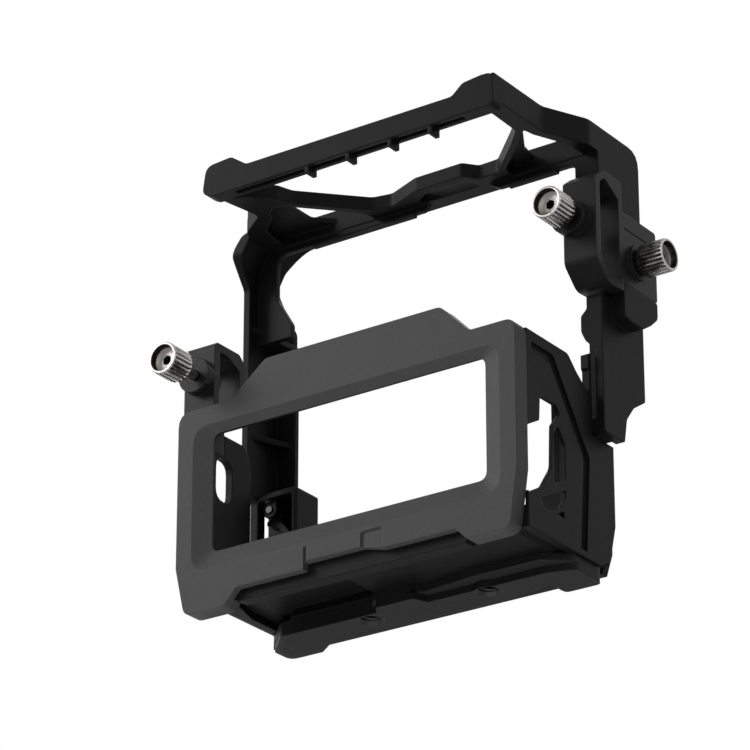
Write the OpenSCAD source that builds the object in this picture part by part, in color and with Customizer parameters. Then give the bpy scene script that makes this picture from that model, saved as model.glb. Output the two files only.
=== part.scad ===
// Protective cage for a video transmitter: a tray with a framed window, a hinged top guard,
// two cable plug clamps with knurled thumbscrews and two tripod sockets.
// Millimetres. X runs right along the front, Y away from the front, Z up. The origin is on the
// plane that the base rests on, at the bezel's mid-width, on the line through the two sockets.

/* [Tray] */
// width across the side walls
cage_w = 105.8; // [98:0.2:112]
// distance from the socket line forward to the bezel's face
cage_front = 28.5; // [26:0.5:34]
// distance from the socket line back to the rear edge of the walls
cage_rear = 17.3; // [16.5:0.1:22]
// height of the side walls
wall_top = 57.6; // [54:0.2:62]
// thickness of the side walls
wall_t = 2.2; // [1.6:0.1:2.8]
// thickness of the right wall around its window and slots
thin_t = 1; // [0.8:0.1:1.6]
// depth of the relief around the raised panel
relief_d = 0.9; // [0.4:0.1:1.2]
// height of the floor's underside
floor_z = 4; // [3:0.5:6]
// thickness of the floor
floor_t = 3; // [2.6:0.1:4]
// width of the slanted keel at the left edge of the floor
keel_w = 7.8; // [4:0.1:9]
// height of the keel
keel_h = 8; // [5:0.1:10]
// width of the rear stop inside the right wall, above its foot
stop_w = 6.2; // [4:0.1:9]
// width of the rear stop's foot
stop_foot_w = 12.1; // [9:0.1:13]
// height of the rear stop's foot
stop_foot_h = 20.4; // [16:0.1:21]
// skin left above the floor's pocket
pocket_skin = 0.8; // [0.6:0.1:1.4]
// height of the lip across the rear
lip_h = 16.9; // [12:0.1:22]
// thickness of the front frame that the bezel covers
frame_t = 2.9; // [2:0.1:3]
// width of the pill slot in the left wall
pill_w = 7.1; // [4:0.1:8]
// height of the pill slot
pill_h = 12.6; // [10:0.1:14]

/* [Bezel] */
// height of the bezel's raised crest
bezel_top = 67.3; // [64:0.1:72]
// depth of the bezel from its face to its rear rim
bezel_depth = 5.2; // [5:0.1:7]
// thickness of the bezel's face
bezel_t = 2.2; // [1.6:0.1:2.4]
// thickness of the bezel's rim
bezel_rim = 1.8; // [1.2:0.1:2.2]
// width of the window
window_w = 85.4; // [70:0.2:88]
// height of the window
window_h = 33.3; // [26:0.1:34]
// height of the window's sill
window_z = 17.6; // [15:0.1:18]
// width of the bevel at the window's sides
bevel_side = 5.3; // [2:0.1:6]
// height of the bevel at the sill
bevel_sill = 5.1; // [2:0.1:6]
// height of the bevel at the head
bevel_head = 2.1; // [1:0.1:4]
// depth of the bevel
bevel_d = 1.5; // [0.6:0.1:1.8]

/* [Base bar] */
// length of the base bar
bar_l = 97.3; // [92:0.1:102]
// distance from the socket line to the tips of the rear feet
foot_reach = 11.9; // [10:0.1:13]
// distance from the socket line to the bar's front edge
bar_front = 7; // [6:0.1:9]
// thickness of the bar's lowest step
step_t = 2; // [1:0.1:2.6]
// distance between the two tripod sockets
socket_pitch = 36.4; // [30:0.1:42]
// how far the midpoint of the sockets lies to the right
socket_offset = 7.2; // [0:0.1:10]
// radius of a socket's thread
socket_r = 2.6; // [2.5:0.05:2.7]
// outer radius of a socket insert
insert_r = 3.6; // [3.5:0.1:4]
// depth of a socket
socket_depth = 5.4; // [4.5:0.1:6]

/* [Guard] */
// how far the legs stand out past the tray's walls
guard_side = 3.4; // [2.6:0.1:7]
// height of the guard
guard_top = 127; // [122:0.5:140]
// distance from the socket line forward to the front bar's face
guard_front = 33; // [26:0.5:40]
// distance from the socket line back to the front edge of the right leg
leg_front = 7.8; // [7:0.1:8.4]
// depth of the right leg
leg_d = 20.4; // [18:0.1:24]
// thickness of the legs' outer plates
leg_t = 2.4; // [1.8:0.1:2.6]
// width of the legs across their flanges
flange_w = 7.1; // [6:0.1:8]
// thickness of flanges, webs and gussets
web_t = 1.6; // [1.2:0.1:2]
// height of the front bar
bar_h = 10; // [8:0.5:12]
// depth of the front bar
bar_d = 4.3; // [3.6:0.1:6]
// thickness of the ribbon frame between the bars
strut_t = 4; // [3:0.1:5]
// height of the right foot's underside
foot_z = 39.4; // [37:0.1:42]
// radius of the hinge pin
pin_r = 1; // [0.8:0.1:1.4]
// height of the hinge pin
pin_z = 43.4; // [42:0.1:45]
// width of the hinge box at the left foot
box_w = 15.4; // [14:0.1:18]

/* [Plug clamps] */
// width of a clamp loop
clamp_w = 9.9; // [9:0.1:11]
// depth of the left clamp loop
left_clamp_d = 13.9; // [13:0.1:16]
// height of the left clamp's top
left_clamp_top = 78.4; // [76:0.1:84]
// how far the right clamp's top lies under the guard's top
right_clamp_drop = 16.1; // [14:0.1:19]
// height of the right clamp loop
right_clamp_h = 31.9; // [30:0.1:33]
// distance from the socket line to the back of the right clamp loop
right_clamp_back = 12.5; // [12:0.1:14]
// thickness of the clamps' front walls
clamp_t = 2.2; // [1.8:0.1:2.4]
// how far the lock plate stands off the leg
plate_t = 4; // [3.4:0.1:5]
// height of the boss under a front thumbscrew
boss_h = 2.8; // [0.8:0.1:4]
// radius of the boss under a front thumbscrew
boss_r = 4.9; // [4.2:0.1:5.2]
// height of the boss under the lock screw
lock_boss_h = 1; // [0.3:0.1:2]

/* [Thumbscrews] */
// radius over the knurling
knob_r = 4.5; // [3.8:0.1:5]
// length of the knurled part
knob_l = 7.8; // [6:0.1:11]
// number of flutes
flutes = 24; // [16:1:32]
// depth of a flute
flute_d = 0.45; // [0.2:0.05:0.6]
// radius of the plain collar
collar_r = 3.6; // [2.8:0.1:4]
// length of the plain collar
collar_l = 0.9; // [0.6:0.1:2.5]
// radius of the screws' thread
screw_r = 1.45; // [1.25:0.05:1.5]
// width across the flats of the hexagon socket
hex_w = 2; // [1.5:0.1:2.5]
// distance from the left boss to the knob's collar
left_gap = 4.9; // [4:0.1:7]
// distance from the right boss to the knob's collar
right_gap = 1.4; // [1.3:0.1:4]
// distance from the lock boss to the knob's collar
lock_gap = 0.2; // [0.2:0.1:1]
// distance from the left clamp's front wall to its press pad
left_pad_gap = 2.2; // [2:0.1:4]
// distance from the right clamp's front wall to its press pad
right_pad_gap = 3; // [2.9:0.1:4]
// length of the lock screw's thread inside the leg
lock_bite = 5; // [4:0.1:5.5]

/* [Hidden] */
$fn = 48;
// one overrun for every cut
over = 0.5;
// clearance between seated pieces that come apart
seat_gap = 0.1;
// clearance between the clamps' backs, the hinge box and what they close on
fit_gap = 0.2;
// clearance between the guard and the tray
guard_gap = 0.5;
// running clearance of shafts and threads, on the radius
run_gap = 0.05;
// radii of corners that are only broken
edge_r = 1;
corner_r = 3;
// segments of a rounded corner, and the largest share of an edge that it takes
bend_steps = 4;
bend_share = 0.48;

// Planes that pieces share
half_w = cage_w / 2;
face_y = -cage_front;
rim_y = face_y + bezel_depth;
floor_top = floor_z + floor_t;
wall_in = half_w - wall_t;
wall_mid = half_w - wall_t / 2;
guard_w = cage_w + 2 * guard_side;
guard_half = guard_w / 2;
bar_z = guard_top - bar_h;
right_clamp_top = guard_top - right_clamp_drop;
leg_in = guard_half - leg_t;
flange_in = guard_half - flange_w;
leg_back = leg_front + leg_d;
bar_y = -guard_front;
lip_y = foot_reach + corner_r;
socket_xs = [socket_offset - socket_pitch / 2, socket_offset + socket_pitch / 2];

// Bezel
bezel_shares = [
    [0.000, 0.866, 1.00], [0.160, 0.866, 1.00], [0.267, 1.000, 0.75], [0.788, 1.000, 0.75],
    [0.869, 0.869, 0.75], [1.000, 0.869, 0.75], [1.000, 0.282, 1.00], [0.978, 0.036, 0.75],
    [0.857, 0.034, 0.38], [0.827, 0.085, 0.38], [0.617, 0.085, 0.00], [0.555, 0.110, 0.25],
    [0.389, 0.110, 0.00], [0.385, 0.079, 0.00], [0.186, 0.079, 0.38], [0.148, 0.013, 0.38],
    [0.028, 0.013, 0.75], [0.000, 0.215, 1.00]
];
shoulder_z = bezel_top * bezel_shares[0][1];
bezel_r = 4;
window_r = 2.5;
bevel_r = 5;
groove_d = 0.5;
groove_w = 0.9;
groove_share = -0.113;
scoop_share = 0.086;
scoop_w = 6.6;

// Tray
right_wall_shares = [
    [0.000, 0.069, 0.00], [0.000, 1.000, 0.00], [0.480, 1.000, 0.70], [0.580, 0.935, 0.70],
    [0.732, 0.860, 0.50], [0.732, 0.986, 0.10], [0.719, 0.993, 0.10], [0.719, 1.061, 0.17],
    [1.000, 1.161, 0.00],
    [1.000, 0.293, 0.67], [0.933, 0.123, 0.50], [0.820, 0.069, 0.00]
];
left_wall_shares = [
    [0.000, 0.208, 0.00], [0.000, 1.000, 0.00], [0.500, 1.000, 0.50], [0.586, 0.938, 1.00],
    [0.586, 0.469, 0.67], [0.722, 0.399, 1.00], [1.000, 0.399, 0.50], [1.000, 0.293, 0.67],
    [0.966, 0.208, 0.00]
];
side_window_shares = [
    [0.147, 0.712, 0.20], [0.334, 0.713, 0.27], [0.372, 0.680, 0.20], [0.283, 0.605, 0.50],
    [0.268, 0.400, 1.33], [0.150, 0.285, 0.67], [0.000, 0.226, 0.10], [0.000, 0.540, 0.10],
    [0.135, 0.592, 0.33]
];
upper_slot_shares = [
    [0.295, 0.570, 0.10], [0.338, 0.612, 0.10], [0.370, 0.604, 0.10], [0.431, 0.547, 0.20],
    [0.428, 0.381, 0.10], [0.295, 0.330, 0.20]
];
lower_slot_shares = [
    [0.128, 0.230, 0.17], [0.425, 0.332, 0.10], [0.423, 0.296, 0.10], [0.363, 0.235, 0.10],
    [0.250, 0.196, 0.27], [0.180, 0.192, 0.27]
];
small_slot_shares = [[0.316, 0.196, 0.00], [0.402, 0.228, 0.00], [0.406, 0.193, 0.00]];
thin_shares = [
    [0.000, 0.170, 0.00], [0.450, 0.170, 0.50], [0.450, 0.620, 0.50], [0.380, 0.730, 0.50],
    [0.000, 0.730, 0.00]
];
relief_shares = [
    [0.057, 0.896, 0.27], [0.268, 0.896, 0.50], [0.633, 0.545, 1.33], [0.579, 0.097, 0.00],
    [0.658, 0.097, 0.00], [0.712, 0.552, 1.33], [0.308, 0.948, 0.50], [0.057, 0.948, 0.27]
];
frame_shares = [
    [0.022, 0.980, 0.50], [0.978, 0.980, 0.50], [0.978, 0.330, 1.00], [0.961, 0.076, 0.50],
    [0.850, 0.076, 0.00], [0.840, 0.042, 0.00], [0.180, 0.042, 0.00], [0.160, 0.060, 0.00],
    [0.048, 0.060, 0.50], [0.022, 0.250, 1.00]
];
frame_window_share = 0.5;
frame_head_rise = 0.7;
frame_y = rim_y - frame_t;
frame_back = rim_y + edge_r;
pill_shares = [0.296, 0.778];
pocket_shares = [
    [0.000, 0.480, 0.50], [0.100, 0.000, 0.50], [1.000, 0.000, 0.50], [1.000, 0.670, 0.50],
    [0.220, 0.670, 0.50], [0.160, 1.000, 0.50], [0.000, 1.000, 0.50]
];
pocket_x_shares = [-0.395, -0.044];
pocket_back = 3;
pocket_r = 6;
stop_y_share = 0.6;
stop_h_share = 0.87;
lip_dip_shares = [-0.2, 0.22, 0.6];
slant_w = 4;
slant_h = 2.6;
lip_slant_w = 1.8;

// Knuckle of the hinge, on a post that rises from the floor
pin_x_share = -0.966;
pin_x = half_w * pin_x_share;
knuckle_shares = [
    [0.000, 0.944, 0.10], [0.408, 0.944, 1.00], [0.898, 0.787, 1.33], [1.000, 0.457, 0.00],
    [1.000, 0.000, 0.00], [0.265, 0.000, 0.00], [0.265, 0.381, 0.67], [0.714, 0.482, 0.67],
    [0.653, 0.749, 1.33], [0.327, 0.898, 0.83], [0.000, 0.909, 0.10]
];
knuckle_left = 2.3;
knuckle_right = 7.5;
knuckle_r = 2.5;
knuckle_t = 3.9;

// Hinge box of the guard's left foot, open to the front, around the knuckle
box_rise = 4.2;
box_drop = 13.4;
box_y0 = leg_front + fit_gap;
box_top = pin_z + box_rise;
box_z = pin_z - box_drop;
ear_y0 = box_y0 + web_t;
ear_y1 = ear_y0 + web_t;
knuckle_y0 = ear_y1 + guard_gap;
knuckle_y1 = knuckle_y0 + knuckle_t;
box_y1 = knuckle_y1 + guard_gap + web_t;
ear_rib_w = 2.2;
ear_r = 2.3;
pin_end = 0.4;

// Base bar
base_low_shares = [
    [0.000, 0.622, 0.67], [0.000, 1.000, 0.83], [0.108, 1.000, 0.50], [0.202, 0.638, 0.67],
    [0.330, 0.638, 0.00], [0.340, 0.773, 0.00], [0.728, 0.773, 0.33], [0.873, 0.659, 0.00],
    [0.885, 0.578, 0.17], [0.887, 1.000, 0.50], [1.000, 1.000, 0.67], [1.000, 0.351, 0.67],
    [0.921, 0.227, 0.67], [0.555, 0.227, 0.17], [0.536, 0.000, 0.17], [0.418, 0.000, 0.17],
    [0.400, 0.162, 0.33], [0.085, 0.162, 0.67]
];
base_high_shares = [
    [0.000, 0.595, 0.67], [0.000, 1.000, 0.83], [0.116, 1.000, 0.50], [0.209, 0.714, 0.67],
    [0.730, 0.827, 0.33], [0.866, 0.768, 0.00], [0.887, 1.000, 0.50], [1.000, 1.000, 0.67],
    [1.000, 0.297, 0.67], [0.933, 0.000, 0.67], [0.723, 0.000, 0.33], [0.563, 0.108, 0.17],
    [0.517, 0.000, 0.17], [0.408, 0.000, 0.17], [0.387, 0.162, 0.33], [0.085, 0.162, 0.67]
];
bar_inset = 0.9;
socket_chamfer = 0.9;
bar_screw_shares = [[-0.38, 0.7], [0.07, 0.2], [0.37, -0.1]];

// Small screws: shank, head, head height, and the head's socket
small_r = 1.1;
small_head_r = 1.9;
small_head_h = 1.2;
socket_head_r = 0.6;
socket_head_d = 0.5;
bezel_screw_shares = [[-0.907, 0.24], [-0.907, 0.72], [0.907, 0.24], [0.907, 0.72]];
bezel_screw_bite = 1.2;

// Guard, seen in plan, from the front and from the side
top_plan_shares = [
    [0.118, 0.044, 0.00], [0.946, 0.044, 0.00], [0.946, 0.519, 1.25], [1.000, 0.807, 1.25],
    [1.000, 1.000, 0.00], [0.030, 1.000, 0.00], [0.040, 0.798, 0.75], [0.070, 0.600, 0.75],
    [0.148, 0.460, 0.75]
];
main_opening_shares = [
    [0.149, 0.100, 0.50], [0.901, 0.100, 0.75], [0.898, 0.422, 0.75], [0.851, 0.551, 0.50],
    [0.748, 0.804, 0.50], [0.694, 0.809, 0.38], [0.667, 0.724, 0.38], [0.532, 0.727, 0.75],
    [0.441, 0.818, 0.75], [0.390, 0.793, 1.00], [0.254, 0.440, 1.00], [0.241, 0.333, 0.75],
    [0.180, 0.200, 0.50], [0.149, 0.189, 0.50]
];
left_opening_shares = [
    [0.207, 0.510, 0.30], [0.233, 0.466, 0.30], [0.367, 0.803, 0.30], [0.367, 0.900, 0.20],
    [0.251, 0.900, 0.50], [0.207, 0.798, 0.50]
];
middle_opening_shares = [
    [0.543, 0.791, 0.50], [0.658, 0.791, 0.38], [0.685, 0.890, 0.38], [0.487, 0.890, 0.38]
];
right_opening_shares = [
    [0.882, 0.560, 0.30], [0.914, 0.470, 0.30], [0.928, 0.600, 0.50], [0.938, 0.900, 0.20],
    [0.826, 0.900, 0.20], [0.836, 0.760, 0.30]
];
left_gusset_shares = [
    [0.145, 0.543, 0.30], [0.202, 0.421, 0.30], [0.231, 0.448, 0.30], [0.368, 0.803, 0.30],
    [0.368, 0.900, 0.20], [0.100, 0.900, 0.50], [0.110, 0.687, 0.50]
];
right_gusset_shares = [
    [0.914, 0.432, 0.20], [0.864, 0.572, 0.50], [0.771, 0.803, 0.30], [0.771, 0.900, 0.20],
    [0.962, 0.900, 0.20], [0.962, 0.754, 0.50], [0.921, 0.521, 0.50]
];
gusset_t = 1.4;
right_arm_shares = [
    [0.925, 0.044, 0.00], [0.946, 0.000, 0.25], [0.946, 0.519, 1.25], [1.000, 0.807, 1.25],
    [1.000, 0.931, 0.00], [0.979, 0.931, 0.00], [0.977, 0.829, 1.25], [0.925, 0.541, 1.25]
];
left_arm_shares = [
    [0.118, 0.044, 0.00], [0.139, 0.044, 0.00], [0.180, 0.500, 0.75], [0.115, 0.650, 0.75],
    [0.080, 0.931, 0.00], [0.046, 0.931, 0.00], [0.070, 0.600, 0.75], [0.148, 0.460, 0.75]
];
front_bar_shares = [
    [0.000, 0.157, 0.80], [0.012, 0.941, 1.00], [0.102, 1.000, 0.80], [0.156, 0.650, 0.80],
    [0.864, 0.650, 0.80], [0.901, 0.941, 0.80], [0.962, 1.000, 0.32], [1.000, 0.980, 0.60],
    [1.000, 0.059, 0.60], [0.032, 0.000, 0.80]
];
front_bar_x_shares = [-0.382, 0.446];
bar_crest_share = 0.65;
channel_w = 1.8;
channel_d = 1.5;
bar_rib_shares = [0.362, 0.502, 0.646, 0.782];
bar_rib_w = 1.2;
bar_rib_h = 1.8;
rear_frame_shares = [
    [0.000, 0.000, 0.00], [0.000, 1.000, 1.67], [0.100, 1.000, 0.50], [0.120, 0.971, 0.50],
    [0.900, 0.971, 0.50], [0.920, 1.000, 0.50], [1.000, 1.000, 0.50], [1.000, 0.577, 0.00],
    [0.954, 0.577, 0.00], [0.954, 0.734, 0.83], [0.729, 0.734, 0.33], [0.686, 0.822, 0.33],
    [0.536, 0.822, 0.33], [0.510, 0.734, 0.33], [0.057, 0.734, 0.60], [0.057, 0.360, 0.70],
    [0.105, 0.110, 0.50], [0.105, 0.000, 0.00]
];
rear_frame_drop = 35;
rear_opening_share = 0.734;
rear_frame_r = 6;
right_leg_shares = [
    [0.000, 1.000, 0.25], [1.000, 1.000, 1.25], [1.000, 0.172, 0.25], [0.715, 0.130, 0.90],
    [0.540, 0.080, 0.90], [0.475, 0.000, 0.25], [0.000, 0.000, 0.25]
];
left_leg_shares = [
    [0.253, 1.000, 0.00], [0.910, 1.000, 0.50], [0.762, 0.938, 1.00], [0.687, 0.897, 1.00],
    [0.687, 0.835, 1.00], [0.840, 0.783, 0.50], [1.000, 0.744, 0.50], [1.000, 0.227, 0.75],
    [0.715, 0.180, 0.25],
    [0.715, 0.000, 0.12], [0.359, 0.000, 0.12], [0.359, 0.165, 0.50], [0.206, 0.206, 0.50],
    [0.206, 0.800, 0.75], [0.000, 0.885, 0.75], [0.000, 0.940, 0.50], [0.120, 0.985, 0.50]
];
left_leg_front = -2.1;
left_leg_back = 26;
left_shell_shares = [
    [0.000, 0.000, 0.00], [0.154, 0.000, 0.00], [0.154, 0.856, 0.40], [0.638, 0.974, 0.40],
    [1.000, 0.979, 0.00], [1.000, 1.000, 0.00], [0.600, 1.000, 0.50], [0.000, 0.897, 0.80]
];
left_shell_w = 13;
shell_r = 10;
lobe_shares = [
    [0.480, 1.000, 0.00], [1.000, 1.000, 0.00], [1.000, 0.000, 0.00], [0.800, 0.000, 0.33],
    [0.380, 0.150, 1.00], [0.130, 0.330, 1.00], [0.130, 0.620, 0.50], [0.480, 0.730, 0.50]
];
lobe_drop = 15.4;
lobe_z = right_clamp_top - right_clamp_h - lobe_drop;
web_y_share = 0.45;
left_rib_shares = [0.2, 0.38, 0.6];
foot_hook_w = 4.8;
foot_hook_h = 5.1;
pad_strip_t = 0.7;
pad_strip_shares = [[-0.32, -0.02], [0.25, 0.385]];

// Left clamp: its loop stands on the left wall, flush with it, and its foot is let into the wall
left_proud = 0.7;
left_x0 = -half_w - left_proud;
left_x1 = left_x0 + clamp_w;
left_y0 = rim_y - clamp_t + seat_gap;
left_y1 = left_y0 + left_clamp_d;
left_z0 = shoulder_z + seat_gap;
left_foot_z = window_z + window_h + edge_r;
left_screw_shares = [0.515, 0.52];
left_screw_x = left_x0 + clamp_w * left_screw_shares[0];
left_screw_z = left_z0 + (left_clamp_top - left_z0) * left_screw_shares[1];
left_loop_shares = [
    [0.000, 0.000, 0.00], [0.000, 0.930, 0.50], [0.065, 1.000, 0.33], [0.777, 1.000, 0.50],
    [1.000, 0.860, 0.50], [1.000, 0.000, 0.00]
];
left_hollow_shares = [
    [0.000, 0.110, 0.27], [0.000, 0.890, 0.33], [0.300, 0.880, 0.50], [0.760, 0.750, 0.33],
    [0.760, 0.110, 0.27]
];

// Right clamp: its loop nests in a notch of the right leg, and its plate lies on the leg
lock_x = guard_half + plate_t;
right_x0 = lock_x - clamp_w;
right_z0 = right_clamp_top - right_clamp_h;
notch_y = right_clamp_back + fit_gap;
right_y0 = -0.5;
right_screw_shares = [0.29, 0.558];
right_screw_x = right_x0 + clamp_w * right_screw_shares[0];
right_screw_z = right_z0 + right_clamp_h * right_screw_shares[1];
right_loop_shares = [
    [0.000, 0.169, 0.75], [0.000, 0.897, 0.38], [0.320, 1.000, 0.38], [1.000, 1.000, 0.20],
    [1.000, 0.019, 0.00], [0.440, 0.000, 1.00]
];
right_hollow_shares = [
    [0.000, 0.204, 0.75], [0.000, 0.875, 0.25], [0.233, 0.937, 0.25], [0.845, 0.821, 0.25],
    [0.845, 0.088, 0.20], [0.398, 0.082, 0.75]
];
lock_plate_shares = [0.1, 0.737];
lock_z0 = right_z0 + right_clamp_h * lock_plate_shares[0];
lock_z1 = right_z0 + right_clamp_h * lock_plate_shares[1];
lock_back = leg_back + edge_r;
lock_line_share = 0.76;
lock_line_w = 0.4;
lock_screw_shares = [0.431, 0.348];
lock_y = right_clamp_back + (lock_back - right_clamp_back) * lock_screw_shares[0];
lock_z = right_z0 + right_clamp_h * lock_screw_shares[1];
shelf_h = 10;
shelf_r = 2;
shelf_shares = [
    [0.000, 1.000, 0.00], [0.000, 0.050, 0.25], [0.210, 0.000, 0.50], [0.560, 0.000, 0.50],
    [0.780, 0.230, 1.25], [1.000, 0.540, 1.25], [1.000, 1.000, 0.40]
];

// Thumbscrews, their sleeves, press pads and the lock screw's clip
sleeve_t = 0.8;
sleeve_r = screw_r + run_gap + sleeve_t;
pad_r = 2.6;
pad_t = 1.4;
tip_r = 0.9;
tip_l = 1;
cup_t = 0.9;
cup_d = 1.9;
hub_r = 2.3;
hub_h = 0.8;
hex_d = 2.2;
knob_chamfer = 0.35;
flute_shares = [[0, 0], [0.18, 1], [0.55, 1], [0.73, 0]];
clip_r = 2.7;
clip_t = 0.6;
clip_gap = 0.2;
clip_seat_d = 1;
lock_boss_r = 4;
left_pad_y = left_y0 + clamp_t + left_pad_gap;
right_pad_y = right_y0 + clamp_t + right_pad_gap;
lock_sleeve_r = 2.6;

// Unit vector of v
function unit(v) = v / norm(v);

// Points of the bend that rounds corner b between its neighbours a and c
function bend(a, b, c, r) =
    r == 0 ? [b] :
    let (u = unit(a - b), v = unit(c - b),
         half = acos(min(max(u * v, -1), 1)) / 2,
         reach = min(r / tan(half), norm(a - b) * bend_share, norm(c - b) * bend_share),
         p = b + u * reach, q = b + v * reach)
    [for (i = [0 : bend_steps]) let (t = i / bend_steps)
        p * (1 - t) * (1 - t) + b * 2 * t * (1 - t) + q * t * t];

function flat(p) = [p[0], p[1]];

// Outline with its corners rounded, from rows of x, y and corner radius
function outline(rows) = let (n = len(rows)) [for (i = [0 : n - 1])
    each bend(flat(rows[(i + n - 1) % n]), flat(rows[i]), flat(rows[(i + 1) % n]), rows[i][2])];

// Rows of x, y and radius from a table of shares, spread over a piece's extent
function spread(shares, x0, x1, y0, y1, r) =
    [for (s = shares) [x0 + (x1 - x0) * s[0], y0 + (y1 - y0) * s[1], r * s[2]]];

function box(x0, x1, y0, y1, r = 0) = [[x0, y0, r], [x1, y0, r], [x1, y1, r], [x0, y1, r]];

// Plates: an outline in Y and Z, X and Z, or X and Y, given its thickness along the third axis
module plate_x(rows, x0, x1) {
    translate([x0, 0, 0]) rotate([90, 0, 90]) linear_extrude(x1 - x0) polygon(outline(rows));
}

module plate_y(rows, y0, y1) {
    translate([0, y1, 0]) rotate([90, 0, 0]) linear_extrude(y1 - y0) polygon(outline(rows));
}

module plate_z(rows, z0, z1) {
    translate([0, 0, z0]) linear_extrude(z1 - z0) polygon(outline(rows));
}

module rod_x(r, x0, x1, y, z) {
    translate([x0, y, z]) rotate([0, 90, 0]) cylinder(r = r, h = x1 - x0);
}

module rod_y(r, y0, y1, x, z) {
    translate([x, y1, z]) rotate([90, 0, 0]) cylinder(r = r, h = y1 - y0);
}

module rod_z(r, z0, z1, x, y) {
    translate([x, y, z0]) cylinder(r = r, h = z1 - z0);
}

// Bezel: a stepped face with a crest, a beveled window and a rim that wraps the front frame
function bezel_rows() = spread(bezel_shares, -half_w, half_w, 0, bezel_top, bezel_r);

// Rows of the window, grown outward by a share of its bevel
function window_rows(grow_share, r, head_rise = 0) = box(
    -window_w / 2 - bevel_side * grow_share, window_w / 2 + bevel_side * grow_share,
    window_z - bevel_sill * grow_share, window_z + window_h + bevel_head * grow_share + head_rise, r);

function frame_rows() = spread(frame_shares, -half_w, half_w, 0, wall_top, corner_r);

module front_bezel() {
    groove_x = cage_w * groove_share;
    scoop_x = cage_w * scoop_share;
    sill_z = window_z - bevel_sill;
    color([0.3, 0.3, 0.31])
    difference() {
        plate_y(bezel_rows(), face_y, rim_y);
        translate([0, rim_y + over, 0])
            rotate([90, 0, 0])
                linear_extrude(bezel_depth - bezel_t + over)
                    offset(delta = -bezel_rim)
                        polygon(outline(bezel_rows()));
        hull() {
            plate_y(window_rows(1, bevel_r), face_y - over, face_y);
            plate_y(window_rows(0, window_r), face_y + bevel_d, face_y + bevel_d + over);
        }
        plate_y(window_rows(0, window_r), face_y, rim_y);
        translate([0, rim_y + over, 0])
            rotate([90, 0, 0])
                linear_extrude(bezel_depth - bezel_t + over)
                    offset(delta = seat_gap)
                        polygon(outline(frame_rows()));
        plate_y(box(groove_x, groove_x + groove_w, 0, sill_z - edge_r),
            face_y - over, face_y + groove_d);
        plate_y(box(scoop_x - scoop_w / 2, scoop_x + scoop_w / 2, 0, sill_z - edge_r, edge_r),
            face_y - over, face_y + groove_d);
        for (s = bezel_screw_shares)
            rod_y(small_r, face_y + bezel_t - bezel_screw_bite, rim_y, half_w * s[0], wall_top * s[1]);
    }
}

module bezel_screws() {
    color([0.4, 0.4, 0.4])
    for (s = bezel_screw_shares) {
        x = half_w * s[0];
        z = wall_top * s[1];
        rod_y(small_r, face_y + bezel_t - bezel_screw_bite, rim_y, x, z);
        difference() {
            rod_y(small_head_r, rim_y, rim_y + small_head_h, x, z);
            rod_y(socket_head_r, rim_y + socket_head_d, rim_y + small_head_h + over, x, z);
        }
    }
}

// Tray: side walls, floor, rear lip, front frame and the hinge's knuckle
function wall_rows(shares) = spread(shares, rim_y, cage_rear, 0, wall_top, corner_r);

function pill_rows() = let (
        y = rim_y + (cage_rear - rim_y) * pill_shares[0],
        z = wall_top * pill_shares[1])
    box(y - pill_w / 2, y + pill_w / 2, z - pill_h / 2, z + pill_h / 2, pill_w);

module right_wall() {
    difference() {
        plate_x(wall_rows(right_wall_shares), wall_in, half_w);
        for (shares = [side_window_shares, upper_slot_shares, lower_slot_shares])
            plate_x(wall_rows(shares), wall_in - over, half_w + over);
        plate_x(wall_rows(thin_shares), wall_in - over, half_w - thin_t);
        for (shares = [relief_shares, small_slot_shares])
            plate_x(wall_rows(shares), half_w - relief_d, half_w + over);
        plate_x(box(leg_front - guard_gap, cage_rear + over, foot_z - guard_gap, bezel_top),
            wall_in - over, half_w + over);
    }
}

module left_wall() {
    difference() {
        plate_x(wall_rows(left_wall_shares), -half_w, -wall_in);
        plate_x(pill_rows(), -half_w - over, -wall_in + over);
        plate_x(box(rim_y - over, left_y1 + seat_gap, left_foot_z, wall_top + over),
            -half_w - over, -wall_in + over);
    }
}

module tray_floor() {
    keel_x = keel_w - half_w;
    difference() {
        plate_y([[-half_w, floor_z + keel_h, 0], [keel_x, floor_z, corner_r],
                [wall_mid - slant_w, floor_z, 0], [wall_mid, floor_z + slant_h, 0],
                [wall_mid, floor_top, 0], [keel_x + edge_r, floor_top, corner_r], [-wall_in, floor_z + keel_h, 0]],
            rim_y, lip_y + edge_r);
        plate_z(spread(pocket_shares, cage_w * pocket_x_shares[0], cage_w * pocket_x_shares[1],
            rim_y + edge_r, pocket_back, pocket_r), floor_z - over, floor_top - pocket_skin);
        for (x = socket_xs)
            rod_z(insert_r, floor_z - over, socket_depth, x, 0);
        for (s = bar_screw_shares)
            rod_z(small_r, floor_z - over, floor_top + over, cage_w * s[0], foot_reach * s[1]);
    }
}

module rear_lip() {
    keel_x = keel_w - half_w;
    difference() {
        plate_y([[-wall_mid, lip_h, 0], [-wall_mid, floor_z + keel_h, 0], [keel_x, floor_z, corner_r],
            [wall_mid - lip_slant_w, floor_z, 0], [wall_mid, floor_top + slant_h, 0],
            [wall_mid, lip_h, 0]], lip_y, cage_rear);
        plate_y(box(cage_w * lip_dip_shares[0], cage_w * lip_dip_shares[1],
            lip_h * lip_dip_shares[2], lip_h + corner_r, corner_r), lip_y - over, cage_rear + over);
    }
}

// Upright inside the right wall that the transmitter's back rests on
module rear_stop() {
    y = rim_y + (cage_rear - rim_y) * stop_y_share;
    z = floor_z + stop_foot_h;
    plate_y([[wall_mid, floor_z + edge_r, 0], [wall_mid, wall_top * stop_h_share, 0],
        [wall_in - stop_w, wall_top * stop_h_share, edge_r], [wall_in - stop_w, z, edge_r],
        [wall_in - stop_foot_w, z, edge_r], [wall_in - stop_foot_w, floor_z + edge_r, 0]], y, y + wall_t);
}

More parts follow.
